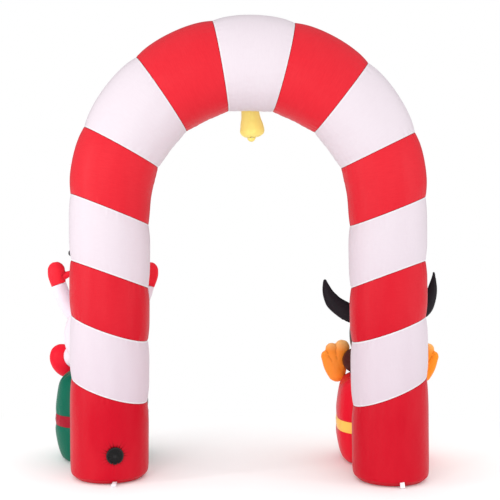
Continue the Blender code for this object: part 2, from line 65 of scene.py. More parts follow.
# %% Camera
ARCH_MIDDLE = Vector((0.064, -0.242, 0.0))
EYE_FROM_MIDDLE = Vector((0.20, -5.50, 1.45))
EYE_TILT = math.radians(2.47)

camera = bpy.data.objects.new("camera", bpy.data.cameras.new("camera"))
bpy.context.collection.objects.link(camera)
camera.location = ARCH_MIDDLE + EYE_FROM_MIDDLE
towards_arch = math.atan2(EYE_FROM_MIDDLE.x, -EYE_FROM_MIDDLE.y)
camera.rotation_euler = (math.radians(90.0) - EYE_TILT, 0.0, towards_arch)
camera.data.sensor_width = 36.0
camera.data.lens = 75.0
bpy.context.scene.camera = camera

# %% [markdown]
# ## Small helpers
# Operators act on whatever is selected, so `pick` first deselects everything. The points of a mesh
# are read and written as one array, which is far quicker than a loop over its vertices.

# %% Helpers
FIT_LIMIT = 0.012            # how far one fit may move a point of the cage
SAME_POINT = 0.00003         # points this near to each other are one


def pick(*pieces):
    bpy.ops.object.select_all(action="DESELECT")
    for piece in pieces:
        piece.select_set(True)
    bpy.context.view_layer.objects.active = pieces[0]


def points_of(piece):
    flat = np.zeros(len(piece.data.vertices) * 3)
    piece.data.vertices.foreach_get("co", flat)
    return flat.reshape(-1, 3)


def normals_of(piece):
    flat = np.zeros(len(piece.data.vertices) * 3)
    piece.data.vertices.foreach_get("normal", flat)
    return flat.reshape(-1, 3)


def put_points(piece, points):
    piece.data.vertices.foreach_set("co", points.astype(np.float32).ravel())
    piece.data.update()


def write_map(piece, name, first, second, girth=None):
    """A UV map from two numbers for each point, in metres. Where the first one goes around a tube of
    that girth, a face that holds its end and its start is carried over the end."""
    layer = piece.data.uv_layers.get(name) or piece.data.uv_layers.new(name=name)
    corners = np.zeros(len(piece.data.loops), np.int32)
    piece.data.loops.foreach_get("vertex_index", corners)
    around = first[corners]
    if girth:
        starts = np.array([face.loop_start for face in piece.data.polygons])
        sizes = np.diff(np.append(starts, len(corners)))
        highest = np.repeat(np.maximum.reduceat(around, starts), sizes)
        around = np.where(highest - around > girth / 2, around + girth, around)
    pairs = np.stack((around, second[corners]), axis=1)
    layer.data.foreach_set("uv", pairs.astype(np.float32).ravel())


def paint(piece, name, values):
    """Stores one number for each point of a piece, which a material can read."""
    stored = piece.data.attributes.new(name, "FLOAT", "POINT")
    stored.data.foreach_set("value", values.astype(np.float32))


def subdivide(piece, levels, fits=0):
    """Subdivision Surface, applied. Each fit first pulls the cage out, so that the smooth skin
    passes through the points of the solid instead of shrinking away from them."""
    goal = points_of(piece)
    cage = goal.copy()
    step = piece.modifiers.new("fine", "SUBSURF")
    step.levels = step.render_levels = levels
    for _ in range(fits):
        shown = piece.evaluated_get(bpy.context.evaluated_depsgraph_get())
        miss = goal - points_of(shown)[:len(goal)]
        length = np.linalg.norm(miss, axis=1, keepdims=True)
        cage += miss * np.minimum(1.0, FIT_LIMIT / np.maximum(length, 1e-9))
        put_points(piece, cage)
    pick(piece)
    bpy.ops.object.modifier_apply(modifier=step.name)


def smooth_shade(piece, degrees=50.0):
    pick(piece)
    bpy.ops.object.shade_smooth_by_angle(angle=math.radians(degrees))


def apply_smooth(piece, factor, iterations):
    step = piece.modifiers.new("even_out", "SMOOTH")
    step.factor = factor
    step.iterations = iterations
    pick(piece)
    bpy.ops.object.modifier_apply(modifier=step.name)


def apply_bevel(piece, width, segments, by_angle=False):
    step = piece.modifiers.new("edges", "BEVEL")
    step.width = width
    step.segments = segments
    if by_angle:
        step.limit_method = "ANGLE"
    pick(piece)
    bpy.ops.object.modifier_apply(modifier=step.name)


def select_faces(piece, chosen):
    """Leaves exactly these faces of a piece selected, for an edit-mode operator."""
    pick(piece)
    bpy.ops.object.mode_set(mode="EDIT")
    bpy.ops.mesh.select_mode(type="FACE")
    bpy.ops.mesh.select_all(action="DESELECT")
    bpy.ops.object.mode_set(mode="OBJECT")
    piece.data.polygons.foreach_set("select", chosen)
    bpy.ops.object.mode_set(mode="EDIT")


print("helpers ready, camera at", tuple(round(value, 3) for value in camera.location))

# %% [markdown]
# ## A copy that can be rounded
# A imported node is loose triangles. Its copy is merged, the flat ends are dissolved to one face each
# and the triangles are turned back into the rows of quads that they came from. Its sharp rims, which
# are the sewn edges of the panel, get a full crease, so that subdivision rounds the cloth between
# the seams and leaves the seams crisp.

# %% Copies of the nodes
SHARP = math.radians(50.0)
QUAD_BEND = math.radians(60.0)      # the most that two triangles of one quad may fold
QUAD_SKEW = math.radians(120.0)     # and the most that its corners may differ from a square's
FLAT_END = 0.001                    # how far from its lowest or highest point a form's flat end lies
UPRIGHT = 0.99                      # of a normal's height, where its face is level


def is_flat_end(face, on_rim, low, high):
    """on_rim tells for each point whether it lies on a sharp edge."""
    if all(on_rim[index] for index in face.vertices):
        return True
    level = face.center.z
    return abs(face.normal.z) > UPRIGHT and (level < low + FLAT_END or level > high - FLAT_END)


def select_sharp_edges():
    bpy.ops.mesh.select_mode(type="EDGE")
    bpy.ops.mesh.select_all(action="DESELECT")
    bpy.ops.mesh.edges_select_sharp(sharpness=SHARP)


def clean_copy(node):
    piece = bpy.data.objects.new(node + "_cloth", NODES[node].data.copy())
    bpy.context.collection.objects.link(piece)
    piece.data.materials.clear()
    pick(piece)
    bpy.ops.object.mode_set(mode="EDIT")
    bpy.ops.mesh.select_all(action="SELECT")
    bpy.ops.mesh.remove_doubles(threshold=SAME_POINT)
    select_sharp_edges()
    bpy.ops.object.mode_set(mode="OBJECT")
    mesh = piece.data
    on_rim = np.zeros(len(mesh.vertices), bool)
    for edge in mesh.edges:
        if edge.select:
            on_rim[list(edge.vertices)] = True
    low = min(vert.co.z for vert in mesh.vertices)
    high = max(vert.co.z for vert in mesh.vertices)
    select_faces(piece, [is_flat_end(face, on_rim, low, high) for face in mesh.polygons])
    bpy.ops.mesh.dissolve_faces()
    bpy.ops.mesh.select_all(action="SELECT")
    bpy.ops.mesh.tris_convert_to_quads(face_threshold=QUAD_BEND, shape_threshold=QUAD_SKEW)
    select_sharp_edges()
    bpy.ops.transform.edge_crease(value=1.0)
    bpy.ops.object.mode_set(mode="OBJECT")
    return piece

# %% [markdown]
# ## Blowing a piece up
# The cloth simulation presses the skin outwards while its sewn rims are held, as the blower does
# on the real thing. Gravity is off, because air carries the cloth. A little negative shrinking makes
# the cloth too long for its rims, so it gathers there. The movement is capped, which keeps
# the piece in the room that its solid has.

# %% Cloth simulation
PRESSURE = 4.0
BENDING = 0.3                # stiffness against folding
BLOW_FRAMES = 14
SPARE_CLOTH = -0.012         # shrinking below nothing: the cloth is 1.2 % too long


def blow_up(piece, held, cap, share=1.0, shrink=SPARE_CLOTH, frames=BLOW_FRAMES):
    """share, from 0 to 1 for each point, is how much of the movement is kept there."""
    before = points_of(piece)
    group = piece.vertex_groups.new(name="sewn")
    group.add([int(index) for index in np.flatnonzero(held)], 1.0, "REPLACE")
    pick(piece)
    cloth = piece.modifiers.new("blown", "CLOTH")
    cloth.settings.vertex_group_mass = "sewn"
    cloth.settings.use_pressure = True
    cloth.settings.uniform_pressure_force = PRESSURE
    cloth.settings.quality = 4
    cloth.settings.shrink_min = shrink
    cloth.settings.bending_stiffness = BENDING
    cloth.settings.effector_weights.gravity = 0.0
    cloth.point_cache.frame_start = 1
    cloth.point_cache.frame_end = frames
    for number in range(1, frames + 1):
        bpy.context.scene.frame_set(number)
    bpy.ops.object.modifier_apply(modifier="blown")
    bpy.context.scene.frame_set(1)
    piece.vertex_groups.clear()
    moved = points_of(piece) - before
    length = np.linalg.norm(moved, axis=1, keepdims=True)
    moved *= np.minimum(1.0, cap / np.maximum(length, 1e-9))
    put_points(piece, before + moved * np.reshape(share, (-1, 1)))


def ease(value):
    """A smooth step from 0 to 1."""
    value = np.clip(value, 0.0, 1.0)
    return value * value * (3.0 - 2.0 * value)

# %% [markdown]
# ## Woven cloth
# The real panels are thin coated polyester with a fine plain weave and a soft sheen. The weave is
# a bump of crossed waves on the piece's own UV map, in metres. Wider noise on the object's
# coordinates makes the small unevenness of cloth under pressure and the faint paler clouds in its
# colour, which are drawn upright: partly the cloth's uneven tone, partly painted sheen. The colour is
# also painted lighter towards the crown, as painted light, and darker in creases, as painted shade.
# Along a seam the cloth lies double and is stitched: the UV map `sewn` holds the way along
# the seam and the distance from it, so that the shader draws a crisp edge and its stitches.

# %% Cloth material
def node_of(tree, kind, settings=None, inputs=None):
    """A shader node with some of its settings and input values."""
    made = tree.nodes.new("ShaderNode" + kind)
    for name, value in (settings or {}).items():
        setattr(made, name, value)
    for name, value in (inputs or {}).items():
        made.inputs[name].default_value = value
    return made


def join(tree, source, output, target, socket):
    tree.links.new(source.outputs[output], target.inputs[socket])


def linear(colour, lit=1.0):
    """Turns 0 to 255 screen values into the linear ones that shaders take. lit is how brightly the
    studio lights the piece, so that the cloth shows the screen value in that light."""
    shares = [value / 255.0 for value in colour]
    flat = [s / 12.92 if s <= 0.04045 else ((s + 0.055) / 1.055) ** 2.4 for s in shares]
    return tuple(min(value / lit, 1.0) for value in flat) + (1.0,)


def blend_colours(tree, factor, low, high):
    """A Mix node of two colours or of two other nodes' colours."""
    mixer = node_of(tree, "Mix", {"data_type": "RGBA"})
    tree.links.new(factor, mixer.inputs[0])
    for value, socket in ((low, mixer.inputs[6]), (high, mixer.inputs[7])):
        if isinstance(value, tuple):
            socket.default_value = value
        else:
            tree.links.new(value, socket)
    return mixer.outputs[2]


STITCH_LENGTH = 0.0065
STITCH_LINE = 0.0034         # from the seam to the row of stitches
STITCH_HALF = 0.0005         # half the thickness of the thread


def sewn_edge(tree, width):
    """Two masks from the map `sewn`: the doubled cloth beside a seam, and the stitches on it."""
    sewn = node_of(tree, "UVMap", {"uv_map": "sewn"})
    parts = node_of(tree, "SeparateXYZ")
    join(tree, sewn, "UV", parts, "Vector")
    edge = node_of(tree, "MapRange", {"interpolation_type": "SMOOTHSTEP"},
                   {"From Min": width, "From Max": width * 0.75})
    join(tree, parts, "Y", edge, "Value")
    dashes = node_of(tree, "Math", {"operation": "PINGPONG"}, {1: STITCH_LENGTH / 2})
    join(tree, parts, "X", dashes, 0)
    dash = node_of(tree, "Math", {"operation": "GREATER_THAN"}, {1: STITCH_LENGTH * 0.12})
    join(tree, dashes, "Value", dash, 0)
    beside = node_of(tree, "Math", {"operation": "COMPARE"}, {1: STITCH_LINE, 2: STITCH_HALF})
    join(tree, parts, "Y", beside, 0)
    stitches = node_of(tree, "Math", {"operation": "MULTIPLY"})
    join(tree, dash, "Value", stitches, 0)
    join(tree, beside, "Value", stitches, 1)
    return edge.outputs["Result"], stitches.outputs["Value"]


YARN = 0.0016                # width of one coarse yarn of the weave
CLOUDS = (7.0, 7.0, 1.8)     # per metre; longer upright, as the soft sheen runs: partly uneven tone, partly painted sheen
STREAKS = (16.0, 170.0, 1.0)  # the yarns of the weft show as fine streaks around the tube
CRINKLE_SCALE = 34.0
CREASE_SHADE_SHARE = 0.35          # of the seam's colour, for the painted shade at the bottom of a crease
LOW_LEVEL, HIGH_LEVEL = 0.35, 1.65   # heights between which the colour is painted lighter towards the crown: painted light


def stretched_noise(tree, place, output, scale, detail_roughness):
    """Noise on coordinates that are scaled differently along each axis."""
    drawn = node_of(tree, "Mapping", inputs={"Scale": scale})
    join(tree, place, output, drawn, "Vector")
    noise = node_of(tree, "TexNoise", inputs={"Scale": 1.0, "Detail": 3.0, "Roughness": detail_roughness})
    join(tree, drawn, "Vector", noise, "Vector")
    return noise


def cloth_colour(tree, place, uv, low, high, cloud, seam, clouds, edge, stitches):
    """The colour from ground to crown, painted lighter upwards, clouded (partly painted sheen) and
    flecked, paler or darker at its seams, with painted shade in its creases and a painted top light where
    a piece has one.
    """
    height = node_of(tree, "SeparateXYZ")
    join(tree, place, "Object", height, "Vector")
    # Painted light: the colour is painted lighter from the ground up to the crown.
    rise = node_of(tree, "MapRange", {"clamp": True}, {"From Min": LOW_LEVEL, "From Max": HIGH_LEVEL})
    join(tree, height, "Z", rise, "Value")
    ground = blend_colours(tree, rise.outputs["Result"], low, high)

    clouding = stretched_noise(tree, place, "Object", CLOUDS, 0.55)
    spread = node_of(tree, "MapRange", inputs={"From Min": 0.42, "From Max": 0.72, "To Max": clouds})
    join(tree, clouding, "Fac", spread, "Value")
    # Painted light: a piece's painted top light takes the clouds' paler colour where it is stronger than
    # they are.
    painted_top_light = node_of(tree, "Attribute", {"attribute_name": "painted_top_light"})
    palest = node_of(tree, "Math", {"operation": "MAXIMUM"})
    join(tree, spread, "Result", palest, 0)
    join(tree, painted_top_light, "Fac", palest, 1)
    clouded = blend_colours(tree, palest.outputs["Value"], ground, cloud)

    flecks = stretched_noise(tree, uv, "UV", STREAKS, 0.6)
    fleck_share = node_of(tree, "MapRange", inputs={"From Min": 0.35, "From Max": 0.75, "To Max": 0.22})
    join(tree, flecks, "Fac", fleck_share, "Value")
    flecked = blend_colours(tree, fleck_share.outputs["Result"], clouded, low)

    edged = blend_colours(tree, edge, flecked, seam)
    thread = node_of(tree, "Math", {"operation": "MULTIPLY"}, {1: 0.35})
    tree.links.new(stitches, thread.inputs[0])
    sewn = blend_colours(tree, thread.outputs["Value"], edged, low)
    # Painted shade: creases and folds are darkened towards a share of the seam's colour.
    painted_crease_shade = node_of(tree, "Attribute", {"attribute_name": "painted_crease_shade"})
    crease_shade_colour = tuple(CREASE_SHADE_SHARE * value for value in seam[:3]) + (1.0,)
    return blend_colours(tree, painted_crease_shade.outputs["Fac"], sewn, crease_shade_colour)


def cloth_relief(tree, place, uv, stitches):
    """Bumps, each on top of the one before: the weave, the crinkles and the stitches."""
    waves = []
    for direction in ("X", "Y"):
        wave = node_of(tree, "TexWave", {"wave_type": "BANDS", "bands_direction": direction},
                       {"Scale": math.tau / 20.0 / YARN, "Distortion": 0.4, "Detail": 1.0})
        join(tree, uv, "UV", wave, "Vector")
        waves.append(wave)
    weave = node_of(tree, "Math", {"operation": "MAXIMUM"})
    join(tree, waves[0], "Fac", weave, 0)
    join(tree, waves[1], "Fac", weave, 1)
    weave_bump = node_of(tree, "Bump", inputs={"Strength": 0.35, "Distance": 0.0003})
    join(tree, weave, "Value", weave_bump, "Height")

    crinkle = node_of(tree, "TexNoise", inputs={"Scale": CRINKLE_SCALE, "Detail": 4.0, "Roughness": 0.55})
    join(tree, place, "Object", crinkle, "Vector")
    crinkle_bump = node_of(tree, "Bump", inputs={"Strength": 0.45, "Distance": 0.004})
    join(tree, crinkle, "Fac", crinkle_bump, "Height")
    join(tree, weave_bump, "Normal", crinkle_bump, "Normal")
    stitch_bump = node_of(tree, "Bump", inputs={"Strength": 0.6, "Distance": 0.0006})
    tree.links.new(stitches, stitch_bump.inputs["Height"])
    join(tree, crinkle_bump, "Normal", stitch_bump, "Normal")
    return stitch_bump


def new_material(name):
    material = bpy.data.materials.new(name)
    material.use_nodes = True
    tree = material.node_tree
    return material, tree, tree.nodes["Principled BSDF"]


def cloth_material(name, low, high, cloud, seam, edge_width=0.003, sheen=0.0, clouds=0.20, lit=1.0):
    """low and high are the colours at the ground and at the crown, which is painted lighter; cloud is the
    paler one between, partly uneven tone and partly painted sheen.
    """
    low, high, cloud, seam = (linear(colour, lit) for colour in (low, high, cloud, seam))
    material, tree, shader = new_material(name)
    shader.inputs["Roughness"].default_value = 0.38
    shader.inputs["Sheen Weight"].default_value = sheen
    shader.inputs["Sheen Roughness"].default_value = 0.45
    shader.inputs["Specular IOR Level"].default_value = 0.12
    place = node_of(tree, "TexCoord")
    uv = node_of(tree, "UVMap", {"uv_map": "cloth"})
    edge, stitches = sewn_edge(tree, edge_width)
    colour = cloth_colour(tree, place, uv, low, high, cloud, seam, clouds, edge, stitches)
    tree.links.new(colour, shader.inputs["Base Color"])
    join(tree, cloth_relief(tree, place, uv, stitches), "Normal", shader, "Normal")
    return material


print("a mid grey is", round(linear((128, 128, 128))[0], 3), "in linear values")

# %% [markdown]
# ## The cloths
# Colours are those that the photograph shows. The back of the tube gets more light than
# the figures behind the legs, so a cloth that is used for both comes in two strengths: the copy
# for the figures and boxes is painted lighter, to make up for their shade.

# %% Cloths
RED = ((216, 4, 36), (246, 44, 58), (248, 62, 72), (186, 2, 24))
# The whites carry a painted pink tint: the red light that shines through the thin cloth of the tube.
WHITE = ((236, 219, 230), (247, 235, 243), (249, 240, 247), (253, 251, 255))
TUBE_LIT = 1.42              # the studio's light on the back of the tube
SHADE_LIT = 1.0              # and on the figures and boxes, which the legs partly shade
CLOTHS = {
    "red_cloth": cloth_material("red_cloth", *RED, lit=TUBE_LIT),
    "white_cloth": cloth_material("white_cloth", *WHITE, edge_width=0.008, sheen=0.03, lit=TUBE_LIT),
    "shaded_red": cloth_material("shaded_red", *RED, lit=SHADE_LIT),
    "shaded_white": cloth_material("shaded_white", *WHITE, sheen=0.03, lit=SHADE_LIT * 1.12),
    "black_cloth": cloth_material("black_cloth", (34, 29, 34), (40, 34, 40), (58, 52, 58), (18, 15, 19),
                                  lit=1.2),
    "green_cloth": cloth_material("green_cloth", (0, 96, 74), (4, 108, 86), (20, 130, 104), (0, 70, 54),
                                  lit=1.1),
    "dark_red_cloth": cloth_material("dark_red_cloth", (150, 8, 34), (160, 14, 40), (176, 24, 50),
                                     (110, 4, 22)),
    "gold_cloth": cloth_material("gold_cloth", (250, 192, 90), (250, 198, 98), (255, 210, 120),
                                 (214, 146, 50)),
    "orange_cloth": cloth_material("orange_cloth", (255, 140, 28), (255, 152, 44), (255, 200, 130),
                                   (236, 96, 10)),
    "yellow_cloth": cloth_material("yellow_cloth", (255, 226, 104), (255, 240, 134), (255, 248, 172),
                                   (246, 200, 76)),
}
# The penguin's legs end close to a lamp inside; its glow through the thin black cloth is painted into
# their colour as brown.
CLOTHS["lit_black"] = cloth_material("lit_black", (76, 34, 30), (84, 40, 35), (92, 46, 38), (24, 8, 10))
CLOTH_OF = {}
# The figures and boxes take the shaded copies, painted lighter against the shade of the legs; the
# penguin's legs take the black with the painted glow.
for node, slot in SLOT_OF.items():
    shaded = "shaded_" + slot.removesuffix("_cloth")
    CLOTH_OF[node] = slot if node.startswith("band") or shaded not in CLOTHS else shaded
    if node.startswith("penguin_leg"):
        CLOTH_OF[node] = "lit_black"
print("cloths:", len(CLOTHS))

# %% [markdown]
# ## What every cloth piece ends with
# A finished piece takes its cloth, stands for its node and rides on the object's one body.
# A piece that has no UV map of its own gets a box projection in metres.

# %% Finishing a cloth piece
ALL_CLOTH = []
FAR_FROM_SEAMS = 1.0


def add_cloth_map(piece):
    piece.data.uv_layers.new(name="cloth")
    pick(piece)
    bpy.ops.object.mode_set(mode="EDIT")
    bpy.ops.mesh.select_all(action="SELECT")
    bpy.ops.uv.cube_project(cube_size=1.0, scale_to_bounds=False)
    bpy.ops.object.mode_set(mode="OBJECT")


def finish_cloth(piece, node):
    """Gives a piece its cloth and its missing maps, hides the node that it stands for and rides it on the
    object's one body.
    """
    if "cloth" not in piece.data.uv_layers:
        add_cloth_map(piece)
    if "sewn" not in piece.data.uv_layers:
        far = np.full(len(piece.data.vertices), FAR_FROM_SEAMS)
        write_map(piece, "sewn", far, far)
    piece.data.materials.clear()
    piece.data.materials.append(CLOTHS[CLOTH_OF[node]])
    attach(piece, "root")
    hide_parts(node)
    ALL_CLOTH.append(piece)

# %% [markdown]
# ## Gathers along a seam
# Where two panels are sewn together, the tension of the thread draws the cloth into short folds that
# run square to the seam and die out within a hand's width. A seam's folds are a sum of waves around
# the tube with random phases, seeded by the seam's place, so that both panels share them.

# %% Gathers
SHORT_WAVES = (17, 23, 29, 37, 43, 48)      # folds around the whole tube
SHORT_DEPTH = 0.0062
SHORT_REACH = 0.024
LONG_WAVES = (5, 8, 11, 13)
LONG_DEPTH = 0.0032
LONG_REACH = 0.085


def wave_sum(waves, seed, turn):
    """Folds around a seam, from about -1 to 1, for an array of angles."""
    draw = np.random.default_rng(seed)
    total = np.zeros_like(turn)
    for count in waves:
        total += draw.uniform(0.5, 1.0) * np.sin(count * turn + draw.uniform(0.0, math.tau))
    patches = 0.6 + 0.4 * np.sin(3 * turn + draw.uniform(0.0, math.tau))
    return total / len(waves) * 1.6 * patches


def gather_strength(distance, reach=SHORT_REACH):
    """None on the stitches, most of it one finger away, and gone after a hand's width."""
    return distance / (distance + reach / 6) * np.exp(-distance / reach)


def gathers(seed, turn, distance):
    """Short folds close to a seam and a few long, shallow ones."""
    short = SHORT_DEPTH * wave_sum(SHORT_WAVES, seed, turn) * gather_strength(distance)
    long = LONG_DEPTH * wave_sum(LONG_WAVES, seed + 1, turn) * gather_strength(distance, LONG_REACH)
    return short + long


print("deepest short fold:", round(SHORT_DEPTH * float(gather_strength(SHORT_REACH)) * 1000, 2), "mm")

# %% [markdown]
# ## Where the intake sits
# The fan's intake is clamped into the cloth of the left leg. The cloth dips under its collar
# and radiates from it in small folds, so its place is needed before the bands are made.

# %% The intake's place
INTAKE_RADIUS = 0.0450
INTAKE_RIM = 0.0075
WELL_DEPTH = 0.006
RING_RADII = (0.0150, 0.0210, 0.0270, 0.0330)
SPOKES = 18
HUB_RADIUS = 0.010
CLIP_ANGLES = (-18.0, 18.0)  # of the two gaps in the rim, from its lowest point
LEG_AXIS = next(Vector(row["pos_m"]) for row in frame["record"]["mounts"] if row["name"] == "left_foot")


def intake_frame():
    """The matrix from the modelling space to the leg: Z points out of the leg, Y up."""
    points = np.array([vert.co for vert in NODES["intake_collar"].data.vertices])
    middle = Vector((points.min(axis=0) + points.max(axis=0)) / 2)
    outward = Vector((middle.x - LEG_AXIS.x, middle.y - LEG_AXIS.y, 0.0)).normalized()
    face = max(points @ np.array(outward))
    up = Vector((0.0, 0.0, 1.0))
    right = up.cross(outward)
    origin = middle + outward * (face - middle.dot(outward))
    turn = Matrix((right, up, outward)).transposed().to_4x4()
    return Matrix.Translation(origin) @ turn


INTAKE_PLACE = intake_frame()
DIMPLE_DEPTH = 0.0085        # of the cloth under the collar's face
DIMPLE_SLOPE = 0.30
FOLD_COUNT = 21
FOLD_DEPTH = 0.0020
FOLD_FADE = 0.018            # way from the collar in which the folds fade
SHADE_FADE = 0.012           # and in which their painted shade does
FOLD_FIELD = 0.100           # how far from the intake's middle the cloth needs small faces
FOLD_LIMIT = 0.16            # beyond this no cloth is moved
BEHIND = -0.08               # cloth deeper than this belongs to the far side of the leg


def intake_coordinates(points):
    """The points as seen from the intake: the way out of the leg is Z."""
    back = np.array(INTAKE_PLACE.inverted())
    return points @ back[:3, :3].T + back[:3, 3]


def refine_around_intake(piece):
    """The small folds need smaller faces than the rest of the band."""
    local = intake_coordinates(np.array([face.center for face in piece.data.polygons]))
    select_faces(piece, (np.hypot(local[:, 0], local[:, 1]) < FOLD_FIELD) & (local[:, 2] > BEHIND))
    bpy.ops.mesh.subdivide(number_cuts=3)
    bpy.ops.object.mode_set(mode="OBJECT")


def tuck_under_intake(points):
    """Presses the cloth down under the collar and folds it around the collar. Also gives painted shade
    for the folds, from 0 to 1: darker in their troughs, near the collar and above it."""
    local = intake_coordinates(points)
    reach = np.hypot(local[:, 0], local[:, 1])
    facing = (local[:, 2] > BEHIND) & (reach < FOLD_LIMIT)
    angle = np.arctan2(local[:, 1], local[:, 0])
    folds = 0.7 * np.sin(FOLD_COUNT * angle + 0.7) + 0.5 * np.sin((FOLD_COUNT + 7) * angle)
    beyond = np.maximum(reach - INTAKE_RADIUS, 0.0)
    lift = FOLD_DEPTH * folds * np.exp(-beyond / FOLD_FADE) * (beyond > 0.0)
    limit = -DIMPLE_DEPTH + beyond * DIMPLE_SLOPE
    height = np.minimum(local[:, 2] + lift, limit + lift * 0.5)
    local[:, 2] = np.where(facing, height, local[:, 2])
    above = 0.55 + 0.45 * np.sin(angle)
    dark = (0.30 + 1.6 * np.clip(-folds, 0.0, 1.0)) * np.exp(-beyond / SHADE_FADE) * above * facing
    forward = np.array(INTAKE_PLACE)
    return local @ forward[:3, :3].T + forward[:3, 3], np.clip(dark, 0.0, 1.0)

# %% [markdown]
# ## The striped tube
# Each band is a tube with two slanted, sewn ends. Its solid gives the seams exactly, so the band
# is a rounded copy of the solid, blown up between its seams, and then gathered along them. The
# angle around the tube and the distance to each seam give the cloth map and the folds.

# %% Bands
BAND_COUNT = 15
BAND_CAP = 0.0055
BULGE_START = 0.070          # from a seam to where the cloth may bulge fully
TUBE_RADIUS = 0.213
CURVE_BASE = 1.450           # height at which the legs end and the curve starts
CURVE_RADIUS = 0.744         # of the middle of the tube
WRINKLE_DEPTH = 0.0005
WRINKLE_PITCHES = (0.046, 0.079)
WRINKLE_START = 0.2          # height above the curve's base at which the wrinkles are full
HELD = 0.0015                # points this near to a seam are held while the band is blown up
ON_SEAM = 0.0004             # and points this near lie on the sewn end itself
END_CORNERS = 20             # the fewest corners of a sewn end
SEAM_GRID = 250.0            # places per metre to which a seam's own number is rounded
CLOSED_UP = 0.00015          # by which each sewn end goes towards its neighbour, to hide the play


def rim_rings(piece):
    """The middles and the directions of a band's flat ends, which are its faces with many corners."""
    return [(np.array(face.center), np.array(face.normal)) for face in piece.data.polygons
            if len(face.vertices) >= END_CORNERS]


def stands_on_floor(ring):
    return ring[0][2] < 0.01


def distances_to(rings, points):
    return [np.abs((points - middle) @ normal) for middle, normal in rings]


def seam_seed(ring):
    """A number that both bands beside a seam find from its place."""
    return 31 * round(abs(ring[0][0]) * SEAM_GRID) + round(ring[0][2] * SEAM_GRID)


def around_and_along(points, rings):
    """The angle about the band's own axis, 0 at the back of the arch, and the way along it."""
    middle = (rings[0][0] + rings[1][0]) / 2
    along = rings[1][0] - rings[0][0]
    along /= np.linalg.norm(along)
    along *= np.sign(along[0] + 0.01)
    back = np.array((0.0, -1.0, 0.0))
    side = np.cross(along, back)
    spoke = points - middle
    return np.arctan2(spoke @ side, spoke @ back), spoke @ along


def compression_wrinkles(points):
    """On the inside of the curve the cloth has too much length, so it wrinkles around the tube."""
    across = points[:, 0] - ARCH_MIDDLE.x
    above = points[:, 2] - CURVE_BASE
    reach = np.hypot(across, above)
    inside = np.clip((CURVE_RADIUS - reach) / TUBE_RADIUS, 0.0, 1.0) ** 2
    inside *= ease(above / WRINKLE_START)
    along = np.arctan2(above, across) * CURVE_RADIUS
    waver = 1.5 * np.sin(points[:, 1] * 23.0)
    short, long = (along * math.tau / pitch for pitch in WRINKLE_PITCHES)
    waves = np.sin(short + waver) + 0.7 * np.sin(long - waver)
    return WRINKLE_DEPTH * inside * waves


def dress_band(number):
    node = f"band_{number:02d}"
    piece = clean_copy(node)
    rings = rim_rings(piece)
    subdivide(piece, 2, fits=2)
    nearest = np.minimum(*distances_to(rings, points_of(piece)))
    blow_up(piece, nearest < HELD, BAND_CAP, ease(nearest / BULGE_START))
    subdivide(piece, 1)
    if number == 1:
        refine_around_intake(piece)
    points = points_of(piece)
    turn, along = around_and_along(points, rings)
    lift = compression_wrinkles(points)
    wall = np.ones(len(points), bool)
    nearest = np.full(len(points), FAR_FROM_SEAMS)
    centre = (rings[0][0] + rings[1][0]) / 2
    for ring, distance in zip(rings, distances_to(rings, points)):
        wall &= distance > ON_SEAM
        outward = ring[1] * np.sign((ring[0] - centre) @ ring[1])
        if not stands_on_floor(ring):
            points += outward * (CLOSED_UP * (distance < ON_SEAM))[:, None]
            lift += gathers(seam_seed(ring), turn, distance)
            nearest = np.minimum(nearest, distance)
    points += normals_of(piece) * (lift * wall)[:, None]
    if number == 1:
        # Painted shade in the folds around the intake.
        points, dark = tuck_under_intake(points)
        paint(piece, "painted_crease_shade", dark)
    points[:, 2] = np.maximum(points[:, 2], 0.0)
    put_points(piece, points)
    write_map(piece, "cloth", turn * TUBE_RADIUS, along, math.tau * TUBE_RADIUS)
    write_map(piece, "sewn", turn * TUBE_RADIUS, nearest, math.tau * TUBE_RADIUS)
    smooth_shade(piece)
    finish_cloth(piece, node)


for number in range(1, BAND_COUNT + 1):
    dress_band(number)
print("bands dressed:", BAND_COUNT)

# %% [markdown]
# ## The gift boxes
# A box is three cloth rings: the lower part, the ribbon and the upper part with the top. They
# are made as the bands are, and their folds run up and down, square to the seams beside the ribbon.

# %% Boxes
BOX_CAP = 0.004
BOX_HELD = 0.001             # points this near to a seam or to the floor are held
BOX_BULGE_START = 0.03
BOX_GIRTH_RADIUS = 0.25
PLEAT_DEPTH = 0.0045
PLEAT_FADE = 0.06            # from the box's top down


